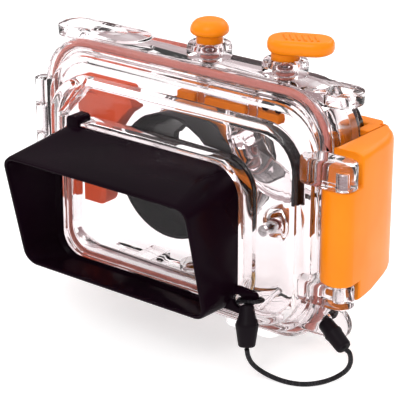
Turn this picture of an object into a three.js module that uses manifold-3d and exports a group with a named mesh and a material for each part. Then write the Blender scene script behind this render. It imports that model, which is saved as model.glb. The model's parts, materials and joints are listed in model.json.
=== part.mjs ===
// Underwater camera housing: clear case in two halves, display hood, side latch and top controls.
// Millimetres, +Z up. X runs along the width, the display side faces -Y and the lens side faces +Y.
import * as THREE from 'three';
import { mergeVertices } from 'three/addons/utils/BufferGeometryUtils.js';
import Module from 'manifold-3d';

const wasm = await Module();
wasm.setup();

// ---------------------------------------------------------------- driving dimensions
// Construction coordinates are measured from the door's shoulder plane; the origin below moves them
// to the middle of the bottom of the object's box.
const OX = 6.35, OY = 2.66, OZ = 55;

// outline of the two halves where they meet
const BX0 = -86, BX1 = 64.5, BZ0 = -50, BZ1 = 58.5, BR = 22;
const Y_DOOR0 = -1.5, Y_DOOR1 = 4.0;      // door flange
const Y_CASE0 = 4.3, Y_CASE1 = 24.0;      // full-size part of the case
const Y_WALL1 = 33.0, Y_WALL0 = 29.5;     // lens-side wall, outer and inner face
const CASE_T = 5.0;                       // case wall
// display frame on the door
const FX0 = -62, FX1 = 38, FZ0 = -35, FZ1 = 29.5, FR = 14, Y_FRAME = -22;
// hood
const HOOD_TOP = 33, HOOD_BOT = 20.5, HOOD_T = 2.0;
// lens port
const LX = -24.5, LZ = 2.0, PORT_R = 33, PORT_Y1 = 46;
// top controls: bore positions and the boss
const CTL_Y = 14, POWER_X = -6, PADDLE_X = 33, BOSS_R = 9.6, BOSS_Z = 65.5, BORE_R = 2.3;
// front control
const FB_X = 17, FB_Z = -16.5;
// door hinge
const HX = -90.5, HY = 2.5, HR = 4.2;
// latch pin
const PX = 76, PY = -6, PIN_R = 1.9;
// strap cord
const CORD_R = 1.0;

const SEG = 4;                            // half of the steps in a quarter corner

// ---------------------------------------------------------------- geometry helpers
const toManifold = (geo) => {
  const g = geo.clone();
  for (const k of Object.keys(g.attributes)) if (k !== 'position') g.deleteAttribute(k);
  const m = mergeVertices(g, 1e-4);
  const mf = new wasm.Manifold(new wasm.Mesh({
    numProp: 3,
    vertProperties: new Float32Array(m.attributes.position.array),
    triVerts: new Uint32Array(m.index.array),
  }));
  return mf;
};
const toGeometry = (mf) => {
  const m = mf.getMesh();
  const g = new THREE.BufferGeometry();
  const p = new Float32Array(m.numVert * 3);
  for (let i = 0; i < m.numVert; i++)
    for (let k = 0; k < 3; k++) p[3 * i + k] = m.vertProperties[m.numProp * i + k];
  g.setAttribute('position', new THREE.BufferAttribute(p, 3));
  g.setIndex(Array.from(m.triVerts));
  g.computeVertexNormals();
  return g;
};
class Solid {
  constructor(x) { this.m = x instanceof THREE.BufferGeometry ? toManifold(x) : x; }
  add(...xs) { let m = this.m; for (const x of xs) m = m.add((x.m ? x : new Solid(x)).m); return new Solid(m); }
  cut(...xs) { let m = this.m; for (const x of xs) m = m.subtract((x.m ? x : new Solid(x)).m); return new Solid(m); }
  both(x) { return new Solid(this.m.intersect((x.m ? x : new Solid(x)).m)); }
  geo() { return toGeometry(this.m); }
}
const S = (g) => new Solid(g);

// rounded rectangle as a shape; a and b are the two in-plane axes
function rr(a0, b0, a1, b1, r) {
  const s = new THREE.Shape();
  s.moveTo(a0 + r, b0);
  s.lineTo(a1 - r, b0); s.absarc(a1 - r, b0 + r, r, -Math.PI / 2, 0, false);
  s.lineTo(a1, b1 - r); s.absarc(a1 - r, b1 - r, r, 0, Math.PI / 2, false);
  s.lineTo(a0 + r, b1); s.absarc(a0 + r, b1 - r, r, Math.PI / 2, Math.PI, false);
  s.lineTo(a0, b0 + r); s.absarc(a0 + r, b0 + r, r, Math.PI, Math.PI * 1.5, false);
  return s;
}
// extrusion of an X-Z shape between two Y planes
function slabY(shape, y0, y1, seg = SEG) {
  const g = new THREE.ExtrudeGeometry(shape, { depth: y1 - y0, bevelEnabled: false, curveSegments: seg });
  g.rotateX(Math.PI / 2);
  g.translate(0, y1, 0);
  return g;
}
// extrusion of an X-Y shape between two Z planes
function slabZ(shape, z0, z1, seg = SEG) {
  const g = new THREE.ExtrudeGeometry(shape, { depth: z1 - z0, bevelEnabled: false, curveSegments: seg });
  g.translate(0, 0, z0);
  return g;
}
const box = (x0, y0, z0, x1, y1, z1) => {
  const g = new THREE.BoxGeometry(x1 - x0, y1 - y0, z1 - z0);
  g.translate((x0 + x1) / 2, (y0 + y1) / 2, (z0 + z1) / 2);
  return g;
};
const cylZ = (r, x, y, z0, z1, n = 24, r2 = r) => {
  const g = new THREE.CylinderGeometry(r2, r, z1 - z0, n);
  g.rotateX(Math.PI / 2);
  g.translate(x, y, (z0 + z1) / 2);
  return g;
};
const cylY = (r, x, z, y0, y1, n = 32, r2 = r) => {
  const g = new THREE.CylinderGeometry(r2, r, y1 - y0, n);
  g.translate(x, (y0 + y1) / 2, z);
  return g;
};
// ring or button turned about Z from [radius, height] points
const turnZ = (pts, x, y, n = 24) => {
  const g = new THREE.LatheGeometry(pts.map((p) => new THREE.Vector2(p[0], p[1])), n);
  g.rotateX(Math.PI / 2);
  g.translate(x, y, 0);
  return g;
};
const turnY = (pts, x, z, n = 24) => {
  const g = new THREE.LatheGeometry(pts.map((p) => new THREE.Vector2(p[0], p[1])), n);
  g.translate(x, 0, z);
  return g;
};
const ringPts = (r0, r1, h0, h1) => [[r0, h0], [r1, h0], [r1, h1], [r0, h1], [r0, h0]];
const oRingPts = (R, r, h, n = 8) => {
  const out = [];
  for (let i = 0; i <= n; i++) {
    const a = (i % n) / n * Math.PI * 2;
    out.push([R + r * Math.cos(a), h + r * Math.sin(a)]);
  }
  return out;
};
// points round a rounded rectangle in X-Z
function loop(x0, z0, x1, z1, r, n = 2 * SEG) {
  const out = [];
  const c = [[x1 - r, z0 + r, -Math.PI / 2], [x1 - r, z1 - r, 0], [x0 + r, z1 - r, Math.PI / 2], [x0 + r, z0 + r, Math.PI]];
  for (const [cx, cz, a0] of c)
    for (let i = 0; i <= n; i++) {
      const a = a0 + (Math.PI / 2) * i / n;
      out.push([cx + r * Math.cos(a), cz + r * Math.sin(a)]);
    }
  return out;
}
// surface through rings of points with the same count; capped, or joined end to start
function loft(rings, joined = false) {
  const n = rings[0].length, pos = [], idx = [];
  for (const r of rings) for (const p of r) pos.push(p[0], p[1], p[2]);
  const k = rings.length;
  for (let j = 0; j < (joined ? k : k - 1); j++)
    for (let i = 0; i < n; i++) {
      const a = j * n + i, b = j * n + (i + 1) % n, c = ((j + 1) % k) * n + i, d = ((j + 1) % k) * n + (i + 1) % n;
      idx.push(a, b, d, a, d, c);
    }
  if (!joined)
    for (const [j, flip] of [[0, true], [k - 1, false]]) {
      const c = [0, 0, 0];
      for (const p of rings[j]) for (let q = 0; q < 3; q++) c[q] += p[q] / n;
      const ci = pos.length / 3;
      pos.push(...c);
      for (let i = 0; i < n; i++) {
        const a = j * n + i, b = j * n + (i + 1) % n;
        if (flip) idx.push(ci, b, a); else idx.push(ci, a, b);
      }
    }
  let g = new THREE.BufferGeometry();
  g.setAttribute('position', new THREE.BufferAttribute(new Float32Array(pos), 3));
  g.setIndex(idx);
  g = mergeVertices(g, 1e-4);
  const P = g.attributes.position.array, I = g.index.array;
  let v = 0;
  for (let t = 0; t < I.length; t += 3) {
    const [a, b, c] = [I[t] * 3, I[t + 1] * 3, I[t + 2] * 3];
    v += P[a] * (P[b + 1] * P[c + 2] - P[b + 2] * P[c + 1])
      - P[a + 1] * (P[b] * P[c + 2] - P[b + 2] * P[c])
      + P[a + 2] * (P[b] * P[c + 1] - P[b + 1] * P[c]);
  }
  if (v < 0) for (let t = 0; t < I.length; t += 3) { const q = I[t + 1]; I[t + 1] = I[t + 2]; I[t + 2] = q; }
  return g;
}
// rounded-rectangle ring at one Y
const at = (x0, z0, x1, z1, r, y) => loop(x0, z0, x1, z1, r).map(([x, z]) => [x, y, z]);
// the main outline moved inwards by e
const inset = (e, y, e2 = e) => at(BX0 + e, BZ0 + e, BX1 - e, BZ1 - e2, Math.max(BR - e, 6), y);
// upright prism of an X-Y outline whose size changes with height: levels are [z, ring]
function prism(levels) {
  const n = levels[0][1].length, pos = [], idx = [];
  for (const [z, ring] of levels) for (const [x, y] of ring) pos.push(x, y, z);
  for (let j = 0; j < levels.length - 1; j++)
    for (let i = 0; i < n; i++) {
      const a = j * n + i, b = j * n + (i + 1) % n, c = a + n, d = b + n;
      idx.push(a, b, d, a, d, c);
    }
  for (const [j, flip] of [[0, true], [levels.length - 1, false]]) {
    const tris = THREE.ShapeUtils.triangulateShape(levels[j][1].map(([x, y]) => new THREE.Vector2(x, y)), []);
    for (const [a, b, c] of tris) if (flip) idx.push(j * n + a, j * n + c, j * n + b); else idx.push(j * n + a, j * n + b, j * n + c);
  }
  const g = new THREE.BufferGeometry();
  g.setAttribute('position', new THREE.BufferAttribute(new Float32Array(pos), 3));
  g.setIndex(idx);
  return g;
}
// round bar along a path
function bar(points, r, n, steps, closed = false) {
  const path = new THREE.CatmullRomCurve3(points.map((p) => new THREE.Vector3(...p)), closed, 'centripetal');
  const s = new THREE.Shape();
  for (let i = 0; i < n; i++) {
    const a = (i / n) * Math.PI * 2;
    if (i) s.lineTo(r * Math.cos(a), r * Math.sin(a)); else s.moveTo(r * Math.cos(a), r * Math.sin(a));
  }
  s.closePath();
  return new THREE.ExtrudeGeometry(s, { steps, bevelEnabled: false, extrudePath: path, curveSegments: 1 });
}
// closed ring of round section round a rounded rectangle at one Y
function oRingRect(x0, z0, x1, z1, r, y, rad, n = 8) {
  const centre = loop(x0, z0, x1, z1, r);
  const rings = centre.map(([x, z]) => {
    const cx = Math.min(Math.max(x, x0 + r), x1 - r), cz = Math.min(Math.max(z, z0 + r), z1 - r);
    const l = Math.hypot(x - cx, z - cz), nx = (x - cx) / l, nz = (z - cz) / l;
    const out = [];
    for (let i = 0; i < n; i++) {
      const a = ((i + 0.5) / n) * Math.PI * 2;
      out.push([x + nx * rad * Math.cos(a), y + rad * Math.sin(a), z + nz * rad * Math.cos(a)]);
    }
    return out;
  });
  return loft(rings, true);
}
// coil spring about Z
function coil(R, r, z0, z1, turns, perTurn = 10, n = 6) {
  class Helix extends THREE.Curve {
    getPoint(t, v = new THREE.Vector3()) {
      const a = t * turns * Math.PI * 2;
      return v.set(R * Math.cos(a), R * Math.sin(a), z0 + r + (z1 - z0 - 2 * r) * t);
    }
  }
  const s = new THREE.Shape();
  for (let i = 0; i < n; i++) {
    const a = (i / n) * Math.PI * 2;
    if (i) s.lineTo(r * Math.cos(a), r * Math.sin(a)); else s.moveTo(r * Math.cos(a), r * Math.sin(a));
  }
  s.closePath();
  return new THREE.ExtrudeGeometry(s, { steps: turns * perTurn, bevelEnabled: false, extrudePath: new Helix(), curveSegments: 1 });
}

// ---------------------------------------------------------------- materials
const mat = (color, roughness, metalness = 0, extra = {}) => new THREE.MeshStandardMaterial({ color, roughness, metalness, ...extra });
const M = {
  clear: () => mat(0xe9e6ea, 0.05, 0, { transparent: true, opacity: 0.35 }),
  orange: () => mat(0xff9010, 0.35),
  seal: () => mat(0xd23a22, 0.5),
  pad: () => mat(0xf0601a, 0.6),
  black: () => mat(0x15101a, 0.3),
  rubber: () => mat(0x1a161c, 0.6),
  steel: () => mat(0xc8ccd0, 0.25, 1),
  brass: () => mat(0xc9a24a, 0.35, 1),
};

const housing = new THREE.Group();
housing.position.set(OX, OY, OZ);
const named = (parent, name, geometry, material) => {
  const m = new THREE.Mesh(geometry, material);
  m.name = name;
  parent.add(m);
  return m;
};

// ================================================================ the case (lens side half)
{
  let c = S(loft([inset(0, Y_CASE0), inset(0, Y_CASE1 - 1.2), inset(0.4, Y_CASE1 - 0.4), inset(1.2, Y_CASE1)]));
  c = c.add(loft([inset(3.5, Y_CASE1 - 2, 7), inset(3.5, Y_WALL1 - 1.5, 7), inset(4, Y_WALL1 - 0.5, 7.6), inset(5.2, Y_WALL1, 8.8)]));
  // strap eyelets: plates that carry the top face past the round corners
  const eyeL = slabZ(rr(-88.5, 5.2, -41, 23.8, 8.5), 55.6, 60);
  const eyeR = slabZ(rr(38, 4.6, 70, 22.5, 8), 52.4, 57.6);
  c = c.add(eyeL, eyeR);
  // hinge knuckles of the case, with their webs
  for (const [z0, z1] of [[10.3, 23.7], [-17.7, -3.3]])
    c = c.add(cylZ(HR, HX, HY, z0, z1, 24), box(HX, 4.4, z0, BX0 + 1, 6.6, z1));
  // studs that carry the latch catch
  for (const z of [-7, 27]) c = c.add(cylY(2.2, 50, z, Y_WALL1 - 1, 37.4, 16));
  // boss of the front control
  c = c.add(cylY(7.2, FB_X, FB_Z, Y_WALL1 - 1, 38, 32));
  // inside of the case
  c = c.cut(loft([inset(CASE_T, Y_CASE0 - 2), inset(CASE_T, Y_CASE1 - 3.5), inset(7.5, Y_CASE1 - 2.5, 11), inset(7.5, Y_WALL0 - 0.8, 11), inset(8.6, Y_WALL0, 12.2)]));
  // corner gussets, tripod boss, posts and ribs inside
  c = c.add(cylZ(7.5, -14, 16, -52, -37.5, 24));
  c = c.add(box(-44, 8, -46.2, -34, 22, -39));
  for (const [x, z] of [[-72, 30], [-72, -12], [6.3, 23.6]]) c = c.add(cylY(3.2, x, z, 17.3, 30.5, 16));
  // control bores
  for (const x of [POWER_X, PADDLE_X]) c = c.cut(cylZ(BORE_R, x, CTL_Y, 40, 70, 16));
  c = c.cut(cylY(5.4, FB_X, FB_Z, 33.5, 40, 24), cylY(BORE_R - 0.5, FB_X, FB_Z, 20, 40, 16), cylY(3.6, FB_X, FB_Z, 30.2, 32.6, 20));
  // hole for the lens port's spigot
  c = c.cut(cylY(31.2, LX, LZ, 25, 38, 48));
  // eyelet slots
  c = c.cut(slabZ(rr(-85, 10, -72, 19, 4.4), 55.5, 62), slabZ(rr(-85, 10, -53, 19, 4.4), 59, 62), slabZ(rr(54.5, 9, 65.6, 17.2, 4), 52.3, 60));
  // tripod insert pocket
  c = c.cut(cylZ(4.8, -14, 16, -56, -41, 24));
  // hinge pin bore
  c = c.cut(cylZ(1.7, HX, HY, -60, 60, 16));
  named(housing, 'main_case', c.geo(), M.clear());
}

// feet: clear blocks under the case and the door's flange
for (const [name, x0, x1] of [['foot_left', -66, -40], ['foot_right', 11, 38]]) {
  const ring = (e, z) => loop(x0 + e, 0.8 + e, x1 - e, 31 - e, 5 - e, 4).map(([x, y]) => [x, y, z]);
  named(housing, name, loft([ring(1.2, -55), ring(0.3, -54.4), ring(0, -53.6), ring(0, -50.4)]), M.clear());
}
// glands of the top controls: spring well above, seal pocket below
const gland = (name, x) => {
  let b = S(turnZ([[0, 58.8], [BOSS_R, 58.8], [BOSS_R, BOSS_Z - 2], [BOSS_R - 0.6, BOSS_Z - 0.6], [BOSS_R - 2, BOSS_Z], [0, BOSS_Z]], x, CTL_Y, 32));
  b = b.cut(cylZ(6.2, x, CTL_Y, 61.5, 70, 28), cylZ(BORE_R, x, CTL_Y, 50, 70, 16), cylZ(4.2, x, CTL_Y, 57, 60.8, 20));
  named(housing, name, b.geo(), M.clear());
};
gland('power_gland', POWER_X);
gland('paddle_gland', PADDLE_X);
// curved guard round the shutter works
{
  const guard = S(cylY(30, 37, 36, 8.3, 29.2, 64)).cut(cylY(27.6, 37, 36, 8, 31, 64))
    .both(box(4, 8, 3, 44, 31, 44.3))
    .cut(S(cylY(41.5, LX, LZ, 11.6, 17.3, 48)).both(box(-1, 8, -9, 30, 30, 34.5)), box(3, 8, 39.6, 14, 10.7, 44.7), cylY(3.6, 6.3, 23.6, 16, 31, 24));
  named(housing, 'inner_guard', guard.geo(), M.clear());
}

// lens port pieces
const lens = new THREE.Group();
lens.position.set(LX, 0, LZ);
housing.add(lens);
{
  let b = S(cylY(PORT_R, 0, 0, Y_WALL1 + 0.3, PORT_Y1, 64)).add(cylY(30.9, 0, 0, 29.8, 34, 64));
  b = b.cut(cylY(29.2, 0, 0, 25, 38, 48), cylY(26.4, 0, 0, 36, 42, 48), cylY(29.2, 0, 0, 41, 50, 48));
  for (const a of [45, 135, 225, 315]) {
    const r = a * Math.PI / 180;
    b = b.cut(cylY(1.0, 31.1 * Math.cos(r), 31.1 * Math.sin(r), 39, 50, 12));
  }
  named(lens, 'lens_port_barrel', b.geo(), M.clear());
}
named(lens, 'lens_shroud', turnY([[27, 10], [28.5, 10], [28.5, 22], [26, 22.6], [26, 42.8], [24.4, 42.8], [24.4, 22.4], [27, 21.4], [27, 10]], 0, 0, 48), M.black());
// collar that centres the shroud in the wall's hole
named(lens, 'shroud_collar', turnY([[26.35, 24.6], [29.2, 24.6], [29.2, 28.6], [28.7, 29.1], [26.35, 29.1], [26.35, 24.6]], 0, 0, 48), M.orange());
named(lens, 'lens_window_seal', turnY(oRingPts(27.7, 0.8, 42.2, 6), 0, 0, 36), M.seal());
named(lens, 'lens_window', cylY(28.8, 0, 0, 43.3, 45.8, 48), M.clear());
{
  let r = S(turnY([[24.5, 46.4], [32.8, 46.4], [32.8, 48.2], [32.2, 48.8], [25.6, 48.8], [24.5, 47.7], [24.5, 46.4]], 0, 0, 48));
  const screws = [];
  for (const a of [45, 135, 225, 315]) {
    const t = a * Math.PI / 180, x = 31.1 * Math.cos(t), z = 31.1 * Math.sin(t);
    r = r.cut(cylY(1.1, x, z, 45, 50, 12));
    screws.push([x, z]);
  }
  named(lens, 'lens_port_ring', r.geo(), M.black());
  screws.forEach(([x, z], i) => {
    const s = S(cylY(0.75, x, z, 40.5, 49.3, 10)).add(cylY(1.55, x, z, 49.1, 50.3, 12)).cut(box(x - 2, 49.8, z - 0.25, x + 2, 51, z + 0.25));
    named(lens, 'lens_ring_screw_' + (i + 1), s.geo(), M.steel());
  });
}

// camera cradle: soft block at the left, hollowed for the camera's lens barrel
{
  let p = S(slabY(rr(-78, -20, -60, 38.5, 4), 8.7, 17)).add(slabY(rr(-70, -1, -46, 38.5, 3), 8.7, 17));
  p = p.cut(cylY(34.2, LX, LZ, 8, 18, 64));
  for (const z of [8, 20, 32]) p = p.cut(box(-80, 8, z - 0.7, -66, 9.5, z + 0.7));
  named(housing, 'camera_cradle', p.geo(), M.pad());
}
// top cushion: three soft tabs on one strip that press on the camera's top
{
  let p = S(box(-16.6, 9, 40, 36.6, 10.3, 44.3));
  for (const [x0, x1] of [[-16.6, -6.9], [-2, 19.5], [25.6, 36.6]]) p = p.add(slabZ(rr(x0, 5.5, x1, 9.4, 1.1), 40, 44.3, 2));
  named(housing, 'top_cushion', p.geo(), M.orange());
}

// clear rail that the cushion hangs from, with a rib in each gap of the tabs
named(housing, 'cushion_rail', S(box(-6.3, 6.6, 44.7, 24.9, 8.6, 53.2)).add(box(-6.3, 5.8, 40.5, -2.6, 8.6, 46), box(20.2, 5.8, 40.5, 24.9, 8.6, 46)).geo(), M.clear());

// tripod insert
named(housing, 'tripod_insert', turnZ([[3.1, -49.8], [4.5, -49.8], [4.5, -48.6], [4.1, -48.2], [4.5, -47.8], [4.5, -41.4], [3.1, -41.4], [3.1, -49.8]], -14, 16, 24), M.brass());

// hinge pin
named(housing, 'hinge_pin', turnZ([[0, -30.6], [2.4, -30.6], [2.4, -30.2], [1.4, -30.2], [1.4, 36.2], [2.4, 36.2], [2.4, 36.8], [0, 36.8]], HX, HY, 12), M.steel());

// ================================================================ top controls
function control(x, capName, capGeo, prefix) {
  const g = new THREE.Group();
  g.position.set(x, CTL_Y, 0);
  housing.add(g);
  named(g, capName, capGeo, M.orange());
  named(g, prefix + '_shaft', turnZ([[0, 44.8], [3.2, 44.8], [3.2, 45.8], [2, 45.8], [2, 52.3], [1.6, 52.3], [1.6, 53.5], [2, 53.5], [2, 72.2], [0, 72.2]], 0, 0, 14), M.steel());
  named(g, prefix + '_clip', turnZ(ringPts(1.85, 3.8, 52.6, 53.2), 0, 0, 16), M.steel());
  named(g, prefix + '_seal', turnZ(oRingPts(3.15, 0.75, 59.8), 0, 0, 16), M.seal());
  named(g, prefix + '_spring', coil(3.35, 0.45, 61.8, 69.6, 4, 9), M.steel());
}
const capStem = [[4.4, 63.7], [5.6, 63.7], [5.6, 68.5]];
const capBore = [[2.3, 72.5], [2.3, 69.9], [4.4, 69.9], [4.4, 63.7]];
{
  // dome-topped round cap
  const pts = [...capStem, [6.9, 68.6], [7.9, 69.3], [8.25, 70.3], [8.1, 71.6], [7.3, 73.2], [6, 74.4], [4.4, 75], [3.6, 74.9], [0, 74.7], [0, 72.5], ...capBore];
  control(POWER_X, 'power_button_cap', turnZ(pts, 0, 0, 24), 'power_button');
}
{
  // long cap, off centre on its stem, with raised ribs across its top
  const ang = 25 * Math.PI / 180, L = 27.6, W = 16.5, off = 6.2;
  const stadium = (e, z) => {
    const out = [], r = W / 2 - e, h = (L - W) / 2;
    for (const [cx, a0] of [[h, -Math.PI / 2], [-h, Math.PI / 2]])
      for (let i = 0; i <= 12; i++) {
        const a = a0 + Math.PI * i / 12;
        const px = cx + off + r * Math.cos(a), py = r * Math.sin(a);
        out.push([px * Math.cos(ang) - py * Math.sin(ang), px * Math.sin(ang) + py * Math.cos(ang), z]);
      }
    return out;
  };
  let cap = S(loft([stadium(1.8, 68.3), stadium(0.5, 69.1), stadium(0, 70.4), stadium(0, 72.4), stadium(0.45, 73.7), stadium(1.2, 74.4), stadium(2.1, 74.5), stadium(4.6, 74.1)]));
  cap = cap.add(cylZ(5.9, 0, 0, 63.7, 69.5, 28));
  cap = cap.cut(cylZ(4.4, 0, 0, 60, 69.9, 24), cylZ(2.3, 0, 0, 60, 72.5, 16));
  for (let i = -2; i <= 3; i++) {
    const rib = new THREE.CylinderGeometry(0.5, 0.5, 8.6 - Math.abs(i - 0.5) * 0.7, 8);
    rib.rotateZ(0.35);
    rib.translate(off + (i - 0.5) * 2.6, 0, 74.2);
    rib.rotateZ(ang);
    cap = cap.add(rib);
  }
  control(PADDLE_X, 'shutter_paddle', cap.geo(), 'paddle');
  // fork turned by the paddle, sliding on its shaft, working the camera's zoom ring
  let f = S(turnZ(ringPts(2.3, 4.6, 46.9, 50.4), PADDLE_X, CTL_Y, 20));
  f = f.add(box(PADDLE_X - 1.6, CTL_Y - 7.6, 47.3, PADDLE_X + 1.6, CTL_Y - 3.2, 49.3),
    box(PADDLE_X - 4.4, CTL_Y - 8.8, 44.9, PADDLE_X - 2.2, CTL_Y - 6.6, 49.3),
    box(PADDLE_X + 2.2, CTL_Y - 8.8, 44.9, PADDLE_X + 4.4, CTL_Y - 6.6, 49.3),
    box(PADDLE_X - 4.4, CTL_Y - 8.8, 47.3, PADDLE_X + 4.4, CTL_Y - 6.6, 49.3));
  named(housing, 'zoom_fork', f.geo(), M.black());
}

// ================================================================ front control (lens side)
{
  const g = new THREE.Group();
  g.position.set(FB_X, 0, FB_Z);
  housing.add(g);
  named(g, 'front_button_cap', turnY([[0, 41.6], [1.6, 41.6], [1.6, 36.9], [3.4, 36.9], [3.4, 35.7], [5.0, 35.7], [5.0, 42.4], [4.4, 43.4], [3.0, 44.0], [0, 44.2], [0, 41.6]], 0, 0, 24), M.orange());
  named(g, 'front_button_shaft', turnY([[0, 22], [2.4, 22], [2.4, 23.6], [1.3, 23.6], [1.3, 41.3], [0, 41.3]], 0, 0, 12), M.steel());
  named(g, 'front_button_clip', turnY(ringPts(1.6, 3.0, 28.4, 29.1), 0, 0, 14), M.steel());
  named(g, 'front_button_seal', turnY(oRingPts(2.55, 0.75, 31.4), 0, 0, 16), M.seal());
  const c = coil(2.35, 0.4, -35.4, -33.8, 1, 10);
  c.rotateX(Math.PI / 2);
  named(g, 'front_button_spring', c, M.steel());
}

// ================================================================ the door (display side half)
const DX0 = -75, DX1 = 58, DZ0 = -43, DZ1 = 45.5, DR = 20;
{
  let d = S(loft([inset(1.0, Y_DOOR0 - 0.2), inset(0, Y_DOOR0 + 1), inset(0, Y_DOOR1)]));
  // two shoulders up to the flat display wall
  d = d.add(loft([at(-80.5, -46.5, 61.8, 52.5, 21, -1), at(-80.5, -46.5, 61.8, 52.5, 21, -4.4), at(-79.9, -45.9, 61.2, 51.9, 20.4, -5.3), at(-78.6, -44.8, 60, 50.8, 19.6, -5.9)].reverse()));
  d = d.add(loft([at(DX0, DZ0, DX1, DZ1, DR, -4), at(DX0, DZ0, DX1, DZ1, DR, -9.6), at(DX0 + 0.5, DZ0 + 0.5, DX1 - 0.5, DZ1 - 0.5, DR - 0.5, -10.9), at(DX0 + 1.6, DZ0 + 1.6, DX1 - 1.6, DZ1 - 1.6, DR - 1.6, -11.8), at(DX0 + 2.8, DZ0 + 2.8, DX1 - 2.8, DZ1 - 2.8, DR - 2.8, -12)]));
  // display frame
  d = d.add(loft([at(FX0 - 1, FZ0 - 1, FX1 + 1, FZ1 + 1, FR + 1, -11), at(FX0 - 0.4, FZ0 - 0.4, FX1 + 0.4, FZ1 + 0.4, FR + 0.4, -13), at(FX0, FZ0, FX1, FZ1, FR, -14), at(FX0, FZ0, FX1, FZ1, FR, -21.2), at(FX0 + 0.8, FZ0 + 0.8, FX1 - 0.8, FZ1 - 0.8, FR - 0.8, Y_FRAME)]));
  // ears for the latch pin
  for (const [z0, z1] of [[25.4, 36.6], [-24.8, -15.6]]) {
    const pts = [[0, z0], [5.6, z0], [6, z0 + 0.4], [6, z1 - 1.6], [5.7, z1 - 0.7], [5.1, z1 - 0.15], [4.4, z1], [0, z1]];
    d = d.add(new Solid(wasm.Manifold.hull([S(turnZ(pts, PX, PY, 24)).m, S(turnZ(pts, 62.5, PY, 24)).m])));
  }
  // cord eyelet at the lower corner
  d = d.add(slabY(rr(52, -41.5, 79.8, -27.2, 7.1), -5.0, -1.8));
  // hinge knuckles
  for (const [z0, z1] of [[24, 36], [-3, 10], [-30, -18]])
    d = d.add(cylZ(HR, HX, HY, z0, z1, 24), box(HX, -1.4, z0, BX0 + 1, 3.9, z1));
  // inside
  d = d.cut(loft([at(-80, -44, 58.5, 52.5, 16.5, 6), at(-80, -44, 58.5, 52.5, 16.5, 0.6), at(-77, -43, 58.3, 49, 17.5, 0.2), at(-77, -43, 58.3, 49, 17.5, -1.9), at(-71.5, -39.5, 54.5, 42, 16.5, -2.4), at(-71.5, -39.5, 54.5, 42, 16.5, -8.2), at(-70.5, -38.5, 53.5, 41, 15.5, -9)]));
  d = d.cut(slabY(rr(-56.5, -29.5, 32.5, 24, 10), -30, 0));
  d = d.cut(slabY(rr(-58.6, -31.6, 34.6, 26.1, 11), -30, -17));
  // seal groove in the meeting face
  const gx = 2.8;
  d = d.cut(S(slabY(rr(BX0 + gx - 1.55, BZ0 + gx - 1.55, BX1 - gx + 1.55, BZ1 - gx + 1.55, BR - gx + 1.55), 1.2, 5))
    .cut(slabY(rr(BX0 + gx + 1.55, BZ0 + gx + 1.55, BX1 - gx - 1.55, BZ1 - gx - 1.55, BR - gx - 1.55), 1, 6)));
  // corner gussets behind the display wall
  for (const [x, z, y1] of [[-61.2, 36.6, -2.6], [-66.4, 30.4, -2.6], [44, -30, -7.4]]) {
    const r = new THREE.BoxGeometry(1.8, 7, 15);
    r.rotateY(0.75);
    r.translate(x, -5.9, z);
    d = d.add(S(r).both(slabY(rr(-73, -41, 56, 43.5, 17), -9.4, y1)));
  }
  d = d.cut(cylZ(2.2, PX, PY, -23, 32, 20), cylZ(1.7, HX, HY, -60, 60, 16), cylY(1.5, 69.2, -33, -8, 0, 16));
  named(housing, 'rear_door', d.geo(), M.clear());
  named(housing, 'door_seal', oRingRect(BX0 + gx, BZ0 + gx, BX1 - gx, BZ1 - gx, BR - gx, 2.75, 1.2), M.seal());
}
// soft strip along the door's inner top corner
named(housing, 'door_liner', S(slabY(rr(-71.2, -39.2, 54.2, 41.7, 16.2), -7.9, -2.9)).cut(slabY(rr(-70.3, -38.3, 53.3, 40.8, 15.3), -9, -2))
  .both(box(22, -9, 13, 60, 0, 50)).geo(), M.rubber());
// display window and its gasket
named(housing, 'display_window', slabY(rr(-58.2, -31.2, 34.2, 25.7, 10.6), -21.4, -18.9), M.clear());
named(housing, 'display_gasket', S(slabY(rr(-58.0, -31.0, 34.0, 25.5, 10.4), -18.6, -17.3)).cut(slabY(rr(-56.6, -29.6, 32.6, 24.1, 10), -20, -16)).geo(), M.seal());

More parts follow.
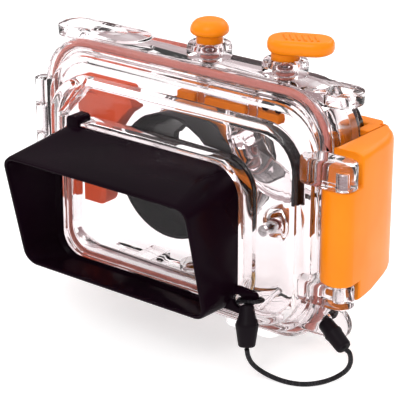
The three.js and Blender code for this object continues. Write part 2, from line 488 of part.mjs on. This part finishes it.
// ================================================================ latch
named(housing, 'latch_pin', turnZ([[0, -22.6], [PIN_R, -22.6], [PIN_R, 31.6], [0, 31.6]], PX, PY, 16), M.steel());
{
  const g = new THREE.Group();
  g.position.set(PX, PY, 0);
  housing.add(g);
  const P = [[66.2, -1.5], [66.5, -5.2], [67.6, -8.2], [69.8, -10.4], [73, -11.6], [76.4, -11.8], [79.2, -10.6], [81.1, -8.4], [81.8, -5.5],
    [81.2, 0], [80.2, 10], [79.2, 18], [78.4, 22.5], [77.2, 27], [75.4, 31], [72.8, 34.6], [69.6, 37.4], [67.2, 38.9], [66.2, 39.1], [66, 38.6], [66, 36], [66.6, 35.4], [67.7, 35.4], [67.7, 2.4], [67, 0.8]]
    .map(([x, y]) => [x - PX, y - PY]);
  // the outer side rounds over at the top and the bottom
  const pull = (e) => P.map(([x, y], i) => {
    if (i < 3 || i > 16) return [x, y];
    const a = P[i - 1], b = P[i + 1], l = Math.hypot(b[0] - a[0], b[1] - a[1]);
    return [x - (b[1] - a[1]) / l * e, y + (b[0] - a[0]) / l * e];
  });
  let l = S(prism([[-24, pull(1.2)], [-23.2, pull(0.3)], [-22.4, P], [35.6, P], [37, pull(0.5)], [38, pull(1.4)], [38.6, pull(2.7)]]));
  // slanted underside towards the back
  const wedge = new THREE.BoxGeometry(80, 80, 12);
  wedge.rotateX(0.15); wedge.translate(0, 26, -27.05);
  l = l.cut(wedge);
  const rear = new THREE.BoxGeometry(60, 8, 12);
  rear.rotateX(-0.6); rear.translate(-8, 48.2, 41.9);
  l = l.cut(rear);
  // room for the ears
  for (const [z0, z1] of [[25.1, 45], [-30, -15.3]])
    l = l.cut(box(-20, -12, z0, 20, 6.6, z1), cylZ(6.5, 0, 0, z0, z1, 24));
  l = l.cut(cylZ(2.2, 0, 0, -40, 45, 20));
  // hollow inner side with a cross rib
  l = l.cut(box(-12, 13, 9, -1.5, 31, 33.5), box(-12, 13, -13, -1.5, 31, 6));
  named(g, 'latch', l.geo(), M.orange());
}

// fixed catch that the latch snaps behind, set on the studs of the lens-side wall
{
  const P = [[40, 33.3], [61.4, 33.3], [61.4, 24.4], [66.2, 24.4], [67.2, 25.4], [67.2, 34.7], [66.6, 35], [65.6, 35], [65.6, 38.2], [64.2, 39.8], [62.6, 40.2], [43, 40.2], [40.8, 39.4], [40, 37.6]];
  let k = S(slabZ(new THREE.Shape(P.map(([x, y]) => new THREE.Vector2(x, y))), -18, 38.6));
  const wedge = new THREE.BoxGeometry(80, 80, 12);
  wedge.rotateX(0.15); wedge.translate(60, 20, -24.6);
  k = k.cut(wedge);
  for (const z of [-7, 27]) k = k.cut(cylY(2.5, 50, z, 30, 37.8, 16));
  named(housing, 'latch_catch', k.geo(), M.orange());
}

// ================================================================ hood
{
  const g = new THREE.Group();
  g.position.set(0, Y_FRAME - 0.3, 0);
  housing.add(g);
  // ring of the hood at fraction t of its depth, e inside its outer surface; the mouth slants back to the bottom
  const zc = (FZ0 + FZ1) / 2;
  const ring = (t, e, tip = 0) => {
    const x0 = FX0 + 0.5 + e, x1 = FX1 - 0.5 - e, z0 = FZ0 + 0.5 + (4.0 * t) + e, z1 = FZ1 - 0.5 - (6.5 * t) - e;
    const r = Math.max(13.4 * (1 - t) + 6.4 * t - e, 2);
    return loop(x0, z0, x1, z1, r, 8).map(([x, z]) => {
      const k = (z - (FZ0 + 4.5)) / (FZ1 - 7 - FZ0 - 4.5);
      const depth = HOOD_BOT + (HOOD_TOP - HOOD_BOT) * Math.min(Math.max(k, -0.05), 1.05);
      return [x, -t * depth - tip, z];
    });
  };
  let h = S(loft([ring(0, 0), ring(0.12, 0), ring(0.4, 0), ring(0.7, 0), ring(0.96, 0), ring(1, 0.35, 0.4), ring(1, HOOD_T - 0.35, 0.4), ring(0.96, HOOD_T), ring(0.7, HOOD_T), ring(0.4, HOOD_T), ring(0.12, HOOD_T), ring(0.05, 3.6), ring(0, 3.6)], true));
  // gripping hooks and the lug for the cord
  h = h.add(S(slabY(rr(-52.8, 24, -46.4, 33.2, 1.8), -2.2, 6.2)).cut(slabY(rr(FX0 - 0.35, FZ0 - 0.35, FX1 + 0.35, FZ1 + 0.35, FR + 0.35), 0, 12)));
  h = h.add(S(slabY(rr(8, -39, 20, -31, 2.6), -3, 7.9)).cut(slabY(rr(FX0 - 0.35, FZ0 - 0.35, FX1 + 0.35, FZ1 + 0.35, FR + 0.35), 0, 12)));
  h = h.add(new Solid(wasm.Manifold.hull([S(cylY(5.8, 39.5, -26, -3.2, -0.8, 24)).m, S(cylY(2.4, 46.6, -23, -3.2, -0.8, 16)).m])), box(27, -3.2, -31.6, 39.5, -0.8, -20.4));
  h = h.cut(cylY(2.8, 39.8, -26.3, -6, 2, 18));
  h = h.cut(S(box(20, -3.4, -40, 34, 0.2, -24)).both(slabY(rr(FX0 + 2.5, FZ0 + 2.7, FX1 - 2.5, FZ1 - 2.5, 11.4), -4, 1)));
  h = h.cut(slabY(rr(FX0 + 4.1, FZ0 + 4.1, FX1 - 4.1, FZ1 - 4.1, 9.8), -2.2, 1));
  named(g, 'display_hood', h.geo(), M.black());
}

// ================================================================ strap cord, its two toggles and the loops
const frameAlong = (from, to) => {
  const a = new THREE.Vector3(...from), b = new THREE.Vector3(...to), d = b.clone().sub(a);
  const q = new THREE.Quaternion().setFromUnitVectors(new THREE.Vector3(0, 1, 0), d.clone().normalize());
  return { a, q, len: d.length() };
};
function toggle(name, from, to, pts) {
  const { a, q, len } = frameAlong(from, to);
  const g = new THREE.LatheGeometry(pts.map(([r, t]) => new THREE.Vector2(r, t * len)), 18);
  const m = named(housing, name, g, M.rubber());
  m.position.copy(a);
  m.quaternion.copy(q);
}
const T1A = [47.8, -29.8, -24.2], T1B = [50.8, -33.8, -40.4];
const T2A = [71.6, -9.7, -32.1], T2B = [84.1, -13.5, -38.5];
toggle('toggle_hood_end', T1A, T1B, [[0, 0], [2.4, 0], [2.9, 0.05], [3.4, 0.25], [4.5, 0.42], [4.8, 0.47], [4.6, 0.53], [3.9, 0.8], [3.5, 0.95], [3.1, 1], [0, 1]]);
toggle('toggle_case_end', T2A, T2B, [[0, 0], [2.7, 0], [3.2, 0.06], [3.4, 0.35], [3.8, 0.42], [3.8, 0.48], [3.5, 0.55], [3.3, 0.94], [2.9, 1], [0, 1]]);
{
  const pts = [[50.95, -34, -41.1], [51.1, -33.1, -44.8], [51.8, -30.9, -48.9], [54.3, -28.7, -52], [59.5, -27.5, -53.7], [66.4, -26.8, -54], [72.4, -24.2, -54], [76.7, -18.8, -54], [79, -11.7, -53.9], [83.1, -10.6, -50.1], [85.5, -11.2, -46], [86.3, -12.2, -42.5], [86.1, -13.2, -39.8], [84.65, -13.66, -38.8]];
  named(housing, 'strap_cord', bar(pts, CORD_R, 8, 64), M.rubber());
  // thin cord tied through the hood's lug, and one knotted behind the door's eyelet
  const ringPath = (name, points, r) => {
    const c = new THREE.CatmullRomCurve3(points.map((p) => new THREE.Vector3(...p)), true, 'centripetal');
    const n = 28, P = [], w = new THREE.Vector3();
    for (let i = 0; i < n; i++) P.push(c.getPointAt(i / n));
    for (let i = 0; i < n; i++) w.add(new THREE.Vector3().crossVectors(P[i], P[(i + 1) % n]));
    w.normalize();
    const rings = P.map((p, i) => {
      const t = c.getTangentAt(i / n), u = new THREE.Vector3().crossVectors(t, w).normalize(), v = new THREE.Vector3().crossVectors(t, u);
      const ring = [];
      for (let j = 0; j < 6; j++) {
        const b = (j / 6) * Math.PI * 2;
        ring.push([p.x + r * (Math.cos(b) * u.x + Math.sin(b) * v.x), p.y + r * (Math.cos(b) * u.y + Math.sin(b) * v.y), p.z + r * (Math.cos(b) * u.z + Math.sin(b) * v.z)]);
      }
      return ring;
    });
    named(housing, name, loft(rings, true), M.rubber());
  };
  ringPath('tie_hood_end', [[39.9, -24.6, -26.3], [40.8, -21.7, -26], [45.6, -20.9, -25], [50.1, -22.4, -24], [50.5, -26, -23.4], [48.6, -28.6, -23.2], [44.4, -27.9, -24.4], [41.2, -26.9, -26]], 0.85);
  const knot = S(bar([[69.2, -0.4, -33], [69.2, -4.6, -33], [69.5, -7.2, -32.6], [70.9, -9.4, -31.8]], 0.7, 8, 12)).add(new THREE.SphereGeometry(2.1, 12, 8).translate(69.2, 0.6, -33));
  named(housing, 'tie_case_end', knot.geo(), M.rubber());
}

export default housing;
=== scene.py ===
"""Looks for the underwater camera housing: materials, softened edges, cord, light and camera."""
import json
import math

import bpy
import bmesh
from mathutils import Matrix, Vector


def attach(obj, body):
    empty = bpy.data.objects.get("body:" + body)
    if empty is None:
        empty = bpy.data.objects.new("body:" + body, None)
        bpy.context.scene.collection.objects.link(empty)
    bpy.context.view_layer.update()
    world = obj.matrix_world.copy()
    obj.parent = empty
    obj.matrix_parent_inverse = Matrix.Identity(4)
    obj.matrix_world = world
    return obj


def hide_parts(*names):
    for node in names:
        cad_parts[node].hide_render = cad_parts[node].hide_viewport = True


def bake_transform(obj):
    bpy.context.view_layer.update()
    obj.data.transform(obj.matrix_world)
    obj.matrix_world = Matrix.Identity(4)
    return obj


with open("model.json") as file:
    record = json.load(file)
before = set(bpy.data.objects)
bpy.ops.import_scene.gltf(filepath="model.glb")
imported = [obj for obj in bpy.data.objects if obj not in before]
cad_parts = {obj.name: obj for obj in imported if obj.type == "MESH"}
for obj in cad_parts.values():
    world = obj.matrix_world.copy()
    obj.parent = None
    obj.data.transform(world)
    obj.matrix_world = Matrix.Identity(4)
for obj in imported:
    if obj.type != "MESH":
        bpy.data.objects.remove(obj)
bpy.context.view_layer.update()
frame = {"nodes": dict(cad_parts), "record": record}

# construction coordinates (millimetres) to the part's frame (metres)
OX, OY, OZ = 6.35, 2.66, 55.0


def at(x, y, z):
    return Vector(((x + OX) / 1000, (y + OY) / 1000, (z + OZ) / 1000))


# ------------------------------------------------------------------ camera
AZ, EL, DIST = math.radians(38.5), math.radians(21.5), 0.760
fwd = Vector((-math.sin(AZ) * math.cos(EL), math.cos(AZ) * math.cos(EL), -math.sin(EL)))
right = Vector((math.cos(AZ), math.sin(AZ), 0))
up = right.cross(fwd)
cam_data = bpy.data.cameras.new("camera")
cam_data.lens = 162
cam_data.sensor_width = 36
cam_data.clip_start, cam_data.clip_end = 0.05, 20
cam = bpy.data.objects.new("camera", cam_data)
bpy.context.scene.collection.objects.link(cam)
rot = Matrix((right, up, -fwd)).transposed().to_4x4()
cam.matrix_world = Matrix.Translation(at(0, 0, 0) - fwd * DIST) @ rot
bpy.context.scene.camera = cam

# ------------------------------------------------------------------ materials


def principled(name, color, rough, metal=0.0, **kw):
    m = bpy.data.materials.new(name)
    m.use_nodes = True
    b = m.node_tree.nodes["Principled BSDF"]
    b.inputs["Base Color"].default_value = (*color, 1)
    b.inputs["Roughness"].default_value = rough
    b.inputs["Metallic"].default_value = metal
    for k, v in kw.items():
        b.inputs[k].default_value = v
    return m, m.node_tree, b


def noise(nt, scale, detail=3.0, rough=0.5, stretch=None):
    co = nt.nodes.new("ShaderNodeTexCoord")
    n = nt.nodes.new("ShaderNodeTexNoise")
    n.inputs["Scale"].default_value = scale
    n.inputs["Detail"].default_value = detail
    n.inputs["Roughness"].default_value = rough
    if stretch:
        mp = nt.nodes.new("ShaderNodeMapping")
        mp.inputs["Scale"].default_value = stretch
        nt.links.new(co.outputs["Object"], mp.inputs["Vector"])
        nt.links.new(mp.outputs["Vector"], n.inputs["Vector"])
    else:
        nt.links.new(co.outputs["Object"], n.inputs["Vector"])
    return n


def ramp(nt, src, lo, hi, a=0.3, b=0.7):
    r = nt.nodes.new("ShaderNodeMapRange")
    r.inputs["From Min"].default_value = a
    r.inputs["From Max"].default_value = b
    r.inputs["To Min"].default_value = lo
    r.inputs["To Max"].default_value = hi
    nt.links.new(src, r.inputs["Value"])
    return r.outputs["Result"]


def mix_color(nt, fac, c0, c1):
    m = nt.nodes.new("ShaderNodeMix")
    m.data_type = "RGBA"
    nt.links.new(fac, m.inputs["Factor"])
    m.inputs["A"].default_value = (*c0, 1)
    m.inputs["B"].default_value = (*c1, 1)
    return m.outputs["Result"]


def bump(nt, b, height, strength, distance):
    bp = nt.nodes.new("ShaderNodeBump")
    bp.inputs["Strength"].default_value = strength
    bp.inputs["Distance"].default_value = distance
    nt.links.new(height, bp.inputs["Height"])
    nt.links.new(bp.outputs["Normal"], b.inputs["Normal"])


def clear(name, color, rough, ior, coat):
    m, nt, b = principled(name, color, rough, **{"Transmission Weight": 1.0, "IOR": ior, "Coat Weight": coat, "Coat Roughness": 0.03})
    n = noise(nt, 55, 2.0)
    bump(nt, b, n.outputs["Fac"], 0.05, 0.0006)
    return m


def plastic(name, c0, c1, r0, r1, coat=0.0, grain=0.04, scale=900, spec=0.5):
    m, nt, b = principled(name, c0, r0, **{"Specular IOR Level": spec})
    n = noise(nt, 35, 4.0)
    nt.links.new(mix_color(nt, ramp(nt, n.outputs["Fac"], 0, 1), c0, c1), b.inputs["Base Color"])
    nt.links.new(ramp(nt, n.outputs["Fac"], r0, r1), b.inputs["Roughness"])
    g = noise(nt, scale, 2.0)
    bump(nt, b, g.outputs["Fac"], grain, 0.0002)
    if coat:
        b.inputs["Coat Weight"].default_value = coat
        b.inputs["Coat Roughness"].default_value = 0.08
    return m


# the faint pink in the clear shell's colour is a painted reflection of the orange parts
CLEAR = clear("clear_shell", (0.957, 0.917, 0.925), 0.0, 1.29, 0.0)
WINDOW = clear("window", (0.99, 0.985, 0.988), 0.0, 1.2, 0.0)
ORANGE = plastic("orange_plastic", (0.98, 0.275, 0.004), (0.94, 0.24, 0.003), 0.30, 0.40, spec=0.2)
PAD = plastic("orange_rubber", (0.90, 0.10, 0.012), (0.84, 0.08, 0.01), 0.5, 0.62)
CUSHION = plastic("orange_cushion", (1.0, 0.27, 0.004), (0.95, 0.23, 0.003), 0.45, 0.6, spec=0.3)
SEAL = plastic("seal_rubber", (0.74, 0.27, 0.22), (0.68, 0.23, 0.19), 0.35, 0.5)
BLACK = plastic("black_gloss", (0.0050, 0.0016, 0.0038), (0.0075, 0.0026, 0.0060), 0.15, 0.23, grain=0.004, spec=0.022)
RUBBER = plastic("black_rubber", (0.0060, 0.0040, 0.0060), (0.0100, 0.0070, 0.0095), 0.36, 0.50, spec=0.06)


def metal(name, c, r0, r1):
    m, nt, b = principled(name, c, r0, 1.0)
    n = noise(nt, 260, 3.0, stretch=(1, 1, 6))
    nt.links.new(ramp(nt, n.outputs["Fac"], r0, r1), b.inputs["Roughness"])
    return m


STEEL = metal("steel", (0.78, 0.78, 0.79), 0.16, 0.30)
BRASS = metal("brass", (0.80, 0.56, 0.22), 0.22, 0.36)

# braided cord: crossing diagonal strands, from two rotated wave patterns in object coordinates
CORD, nt, b = principled("braided_cord", (0.008, 0.007, 0.009), 0.6, **{"Specular IOR Level": 0.25})
uv = nt.nodes.new("ShaderNodeTexCoord")
waves = []
for sx in (1, -1):
    mp = nt.nodes.new("ShaderNodeMapping")
    mp.inputs["Rotation"].default_value = (0.6 * sx, 0.3 * sx, 0.8 * sx)
    nt.links.new(uv.outputs["Object"], mp.inputs["Vector"])
    w = nt.nodes.new("ShaderNodeTexWave")
    w.inputs["Scale"].default_value = 260
    w.inputs["Distortion"].default_value = 0.6
    nt.links.new(mp.outputs["Vector"], w.inputs["Vector"])
    waves.append(w)
mul = nt.nodes.new("ShaderNodeMath")
mul.operation = "MULTIPLY"
nt.links.new(waves[0].outputs["Fac"], mul.inputs[0])
nt.links.new(waves[1].outputs["Fac"], mul.inputs[1])
nt.links.new(mix_color(nt, mul.outputs[0], (0.004, 0.0035, 0.005), (0.022, 0.020, 0.025)), b.inputs["Base Color"])
bump(nt, b, mul.outputs[0], 0.5, 0.0003)

SLOT_MAT = {
    "clear_shell": CLEAR, "window_glass": WINDOW, "orange_plastic": ORANGE, "orange_rubber": PAD, "cushion_foam": CUSHION,
    "seal_rubber": SEAL, "black_gloss": BLACK, "black_rubber": RUBBER, "black_cord": CORD,
    "steel": STEEL, "brass": BRASS,
}
node_slot = {s["node"]: s["material_slot"] for s in frame["record"]["subparts"]}
node_body = {n: bname for bname, nodes in frame["record"]["behaviour"]["bodies"].items() for n in nodes}

# ------------------------------------------------------------------ cord route (metres), laid on the floor
ROUTE = [[50.95, -34, -41.1], [51.1, -33.1, -44.8], [51.8, -30.9, -48.9], [54.3, -28.7, -52], [59.5, -27.5, -53.7], [66.4, -26.8, -54],
         [72.4, -24.2, -54], [76.7, -18.8, -54], [79, -11.7, -53.9], [83.1, -10.6, -50.1], [85.5, -11.2, -46], [86.3, -12.2, -42.5],
         [86.1, -13.2, -39.8], [84.65, -13.66, -38.8]]


def catmull(points, per=8, closed=False):
    """Points along a centripetal Catmull-Rom curve, as the CAD's own curve takes it."""
    P = [Vector(p) for p in points]
    n = len(P)
    out = []
    for i in range(n if closed else n - 1):
        if closed:
            p0, p1, p2, p3 = P[(i - 1) % n], P[i], P[(i + 1) % n], P[(i + 2) % n]
        else:
            p1, p2 = P[i], P[i + 1]
            p0 = P[i - 1] if i else p1 + (p1 - p2)
            p3 = P[i + 2] if i + 2 < n else p2 + (p2 - p1)
        t0 = 0.0
        t1 = t0 + max((p1 - p0).length, 1e-9) ** 0.5
        t2 = t1 + max((p2 - p1).length, 1e-9) ** 0.5
        t3 = t2 + max((p3 - p2).length, 1e-9) ** 0.5
        for k in range(per):
            t = t1 + (t2 - t1) * k / per
            a1 = p0 * ((t1 - t) / (t1 - t0)) + p1 * ((t - t0) / (t1 - t0))
            a2 = p1 * ((t2 - t) / (t2 - t1)) + p2 * ((t - t1) / (t2 - t1))
            a3 = p2 * ((t3 - t) / (t3 - t2)) + p3 * ((t - t2) / (t3 - t2))
            b1 = a1 * ((t2 - t) / (t2 - t0)) + a2 * ((t - t0) / (t2 - t0))
            b2 = a2 * ((t3 - t) / (t3 - t1)) + a3 * ((t - t1) / (t3 - t1))
            out.append(b1 * ((t2 - t) / (t2 - t1)) + b2 * ((t - t1) / (t2 - t1)))
    if not closed:
        out.append(P[-1])
    return out


def tube(name, pts, radius, closed=False, sides=16):
    """Mesh tube along points, with frames carried along so it never twists."""
    n = len(pts)
    tans = []
    for i in range(n):
        a = pts[(i - 1) % n] if (closed or i) else pts[0]
        c = pts[(i + 1) % n] if (closed or i < n - 1) else pts[-1]
        tans.append((c - a).normalized())
    nor = tans[0].orthogonal().normalized()
    nors = [nor]
    for i in range(1, n):
        nor = (nor - tans[i] * nor.dot(tans[i])).normalized()
        nors.append(nor)
    twist = 0.0
    if closed:
        last = (nors[-1] - tans[0] * nors[-1].dot(tans[0])).normalized()
        twist = math.atan2(last.cross(nors[0]).dot(tans[0]), last.dot(nors[0]))
    bm = bmesh.new()
    rings = []
    for i in range(n):
        u = nors[i]
        v = tans[i].cross(u)
        extra = twist * i / n
        ring = []
        for k in range(sides):
            a = 2 * math.pi * k / sides + extra
            ring.append(bm.verts.new(pts[i] + (u * math.cos(a) + v * math.sin(a)) * radius))
        rings.append(ring)
    for i in range(n if closed else n - 1):
        r0, r1 = rings[i], rings[(i + 1) % n]
        for k in range(sides):
            bm.faces.new((r0[k], r0[(k + 1) % sides], r1[(k + 1) % sides], r1[k]))
    if not closed:
        bm.faces.new(list(reversed(rings[0])))
        bm.faces.new(rings[-1])
    bmesh.ops.recalc_face_normals(bm, faces=bm.faces)
    me = bpy.data.meshes.new(name)
    bm.to_mesh(me)
    bm.free()
    for p in me.polygons:
        p.use_smooth = len(p.vertices) == 4
    o = bpy.data.objects.new(name, me)
    bpy.context.scene.collection.objects.link(o)
    return o


route = [at(*p) for p in ROUTE]
cord_pts = catmull(route, 8)
cord = tube("cord_visible", cord_pts, 0.001)
cord.data.materials.append(CORD)
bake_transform(cord)
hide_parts("strap_cord")

# ------------------------------------------------------------------ softened copies of the CAD pieces
# a spring stands on one body and shortens with the other
# springs, listed with the body each stands on, the body it shortens against, and two end points; here they are only
# baked where they stand, and these values are not read
BEND = {
    "power_button_spring": ("case", "power_button", tuple(at(-6, 14, 61.8)), tuple(at(-6, 14, 69.6))),
    "paddle_spring": ("zoom", "shutter", tuple(at(33, 14, 61.8)), tuple(at(33, 14, 69.6))),
    "front_button_spring": ("case", "front_button", tuple(at(17, 33.4, -16.5)), tuple(at(17, 35.4, -16.5))),
}


def weigh(bm, width, angle):
    """Bevel weights: full on a sharp edge with room beside it, less where the faces beside it are narrow."""
    layer = bm.edges.layers.float.get("bevel_weight_edge") or bm.edges.layers.float.new("bevel_weight_edge")
    lim = math.radians(angle)
    for e in bm.edges:
        e[layer] = 0.0
        if len(e.link_faces) != 2 or e.calc_face_angle(0.0) < lim:
            continue
        d = (e.verts[1].co - e.verts[0].co).normalized()
        room = width
        for v in e.verts:
            for f in v.link_edges:
                if f is e:
                    continue
                g = f.other_vert(v).co - v.co
                c = abs(g.normalized().dot(d))
                if c < 0.85:
                    room = min(room, 0.42 * g.length * math.sqrt(1 - c * c))
        e[layer] = room / width if room > 0.12 * width else 0.0


def soften(node, width, segs=2, angle=35, dissolve=0.6, smooth=40, subsurf=0):
    """A copy of a CAD node with bevelled edges and smooth curved faces, standing for the node."""
    src = frame["nodes"][node]
    me = src.data.copy()
    me.transform(src.matrix_world)
    me.name = node + "_visible"
    bm = bmesh.new()
    bm.from_mesh(me)
    bmesh.ops.remove_doubles(bm, verts=bm.verts, dist=2e-6)
    bmesh.ops.dissolve_limit(bm, angle_limit=math.radians(dissolve), verts=bm.verts, edges=bm.edges)
    bmesh.ops.recalc_face_normals(bm, faces=bm.faces)
    if width:
        weigh(bm, width, angle)
    bm.to_mesh(me)
    bm.free()
    me.materials.clear()
    me.materials.append(SLOT_MAT[node_slot[node]])
    o = bpy.data.objects.new(node + "_visible", me)
    bpy.context.scene.collection.objects.link(o)
    if width:
        bv = o.modifiers.new("bevel", "BEVEL")
        bv.width = width
        bv.segments = segs
        bv.limit_method = "WEIGHT"
        bv.use_clamp_overlap = False
        bv.miter_outer = "MITER_SHARP"
        bv.harden_normals = False
    if subsurf:
        ss = o.modifiers.new("subsurf", "SUBSURF")
        ss.levels = ss.render_levels = subsurf
    dg = bpy.context.evaluated_depsgraph_get()
    done = bpy.data.meshes.new_from_object(o.evaluated_get(dg))
    o.modifiers.clear()
    o.data = done
    done.name = node + "_visible"
    if width:
        bm = bmesh.new()
        bm.from_mesh(done)
        bmesh.ops.dissolve_degenerate(bm, dist=1e-6, edges=bm.edges)
        bm.to_mesh(done)
        bm.free()
    for p in done.polygons:
        p.use_smooth = True
    done.set_sharp_from_angle(angle=math.radians(smooth))
    if node in BEND:
        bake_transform(o)
    else:
        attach(o, node_body[node])
    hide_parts(node)
    return o


made = {}
for node, w, segs in (
    ("main_case", 0.0003, 2), ("rear_door", 0.0003, 2), ("latch", 0.0008, 3), ("latch_catch", 0.0008, 3), ("display_hood", 0.0003, 2),
    ("camera_cradle", 0.0006, 2), ("top_cushion", 0.0004, 2), ("door_liner", 0.0003, 2), ("lens_port_ring", 0.0002, 2), ("lens_shroud", 0.0002, 2), ("shroud_collar", 0.0003, 2),
    ("display_window", 0.0002, 1), ("lens_window", 0.0002, 1), ("zoom_fork", 0.0003, 2),
    ("power_button_cap", 0.0002, 2), ("shutter_paddle", 0.0002, 2), ("front_button_cap", 0.0002, 2),
    ("foot_left", 0.0003, 2), ("foot_right", 0.0003, 2), ("power_gland", 0.0003, 2), ("paddle_gland", 0.0003, 2),
    ("lens_port_barrel", 0.0003, 2), ("inner_guard", 0.0003, 2), ("cushion_rail", 0.0002, 2), ("toggle_hood_end", 0.0004, 2), ("toggle_case_end", 0.0004, 2), ("display_gasket", 0.0002, 1),
    ("latch_pin", 0.0003, 2), ("hinge_pin", 0.0002, 2),
):
    made[node] = soften(node, w, segs)
for node in node_slot:
    if node not in made and node not in ("strap_cord", "tie_hood_end"):
        made[node] = soften(node, 0.0, smooth=50)

# thin tie through the hood's lug, round and smooth
tie = tube("tie_hood_visible", catmull([at(*p) for p in ([39.9, -24.6, -26.3], [40.8, -21.7, -26], [45.6, -20.9, -25], [50.1, -22.4, -24], [50.5, -26, -23.4], [48.6, -28.6, -23.2], [44.4, -27.9, -24.4], [41.2, -26.9, -26])], 6, True), 0.00085, True, 12)
tie.data.materials.append(CORD)
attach(tie, "hood")
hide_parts("tie_hood_end")

# ------------------------------------------------------------------ floor and light
bpy.ops.mesh.primitive_plane_add(size=8, location=(0, 0, 0))
floor = bpy.context.object
floor.name = "floor"
fm, nt, b = principled("floor", (0.66, 0.66, 0.66), 0.8, **{"Emission Color": (1, 1, 1, 1), "Emission Strength": 0.58})
floor.data.materials.append(fm)

world = bpy.data.worlds.new("studio")
bpy.context.scene.world = world
world.use_nodes = True
bg = world.node_tree.nodes["Background"]
bg.inputs["Strength"].default_value = 1.0
wt = world.node_tree
gen = wt.nodes.new("ShaderNodeTexCoord")
xyz = wt.nodes.new("ShaderNodeSeparateXYZ")
sky = wt.nodes.new("ShaderNodeValToRGB")
wt.links.new(gen.outputs["Generated"], xyz.inputs["Vector"])
wt.links.new(xyz.outputs["Z"], sky.inputs["Fac"])
wt.links.new(sky.outputs["Color"], bg.inputs["Color"])
# a bright room with a dim band low on the horizon, which draws the edges of the clear walls
for i, (pos, c) in enumerate(((0.0, (0.38, 0.27, 0.28)), (0.16, (0.42, 0.31, 0.32)), (0.42, (0.68, 0.59, 0.60)), (0.62, (1.06, 1.04, 1.04)), (1.0, (1.25, 1.25, 1.25)))):
    e = sky.color_ramp.elements[i] if i < 2 else sky.color_ramp.elements.new(pos)
    e.position = pos
    e.color = (*c, 1)


def area(name, loc, target, size, power, color=(1, 1, 1)):
    d = bpy.data.lights.new(name, "AREA")
    d.shape = "RECTANGLE"
    d.size, d.size_y = size
    d.energy = power
    d.color = color
    o = bpy.data.objects.new(name, d)
    bpy.context.scene.collection.objects.link(o)
    o.location = loc
    o.rotation_euler = (Vector(target) - Vector(loc)).to_track_quat("-Z", "Y").to_euler()
    return o


area("key", (0.25, -0.85, 0.95), (0, 0, 0.05), (0.5, 0.5), 4.0)
area("left", (-1.0, -0.2, 0.7), (0, 0, 0.05), (0.5, 0.8), 2.0)
area("back", (0.2, 1.1, 0.8), (0, 0, 0.05), (0.9, 0.5), 3.0)

view = bpy.context.scene.view_settings
view.view_transform = "Standard"
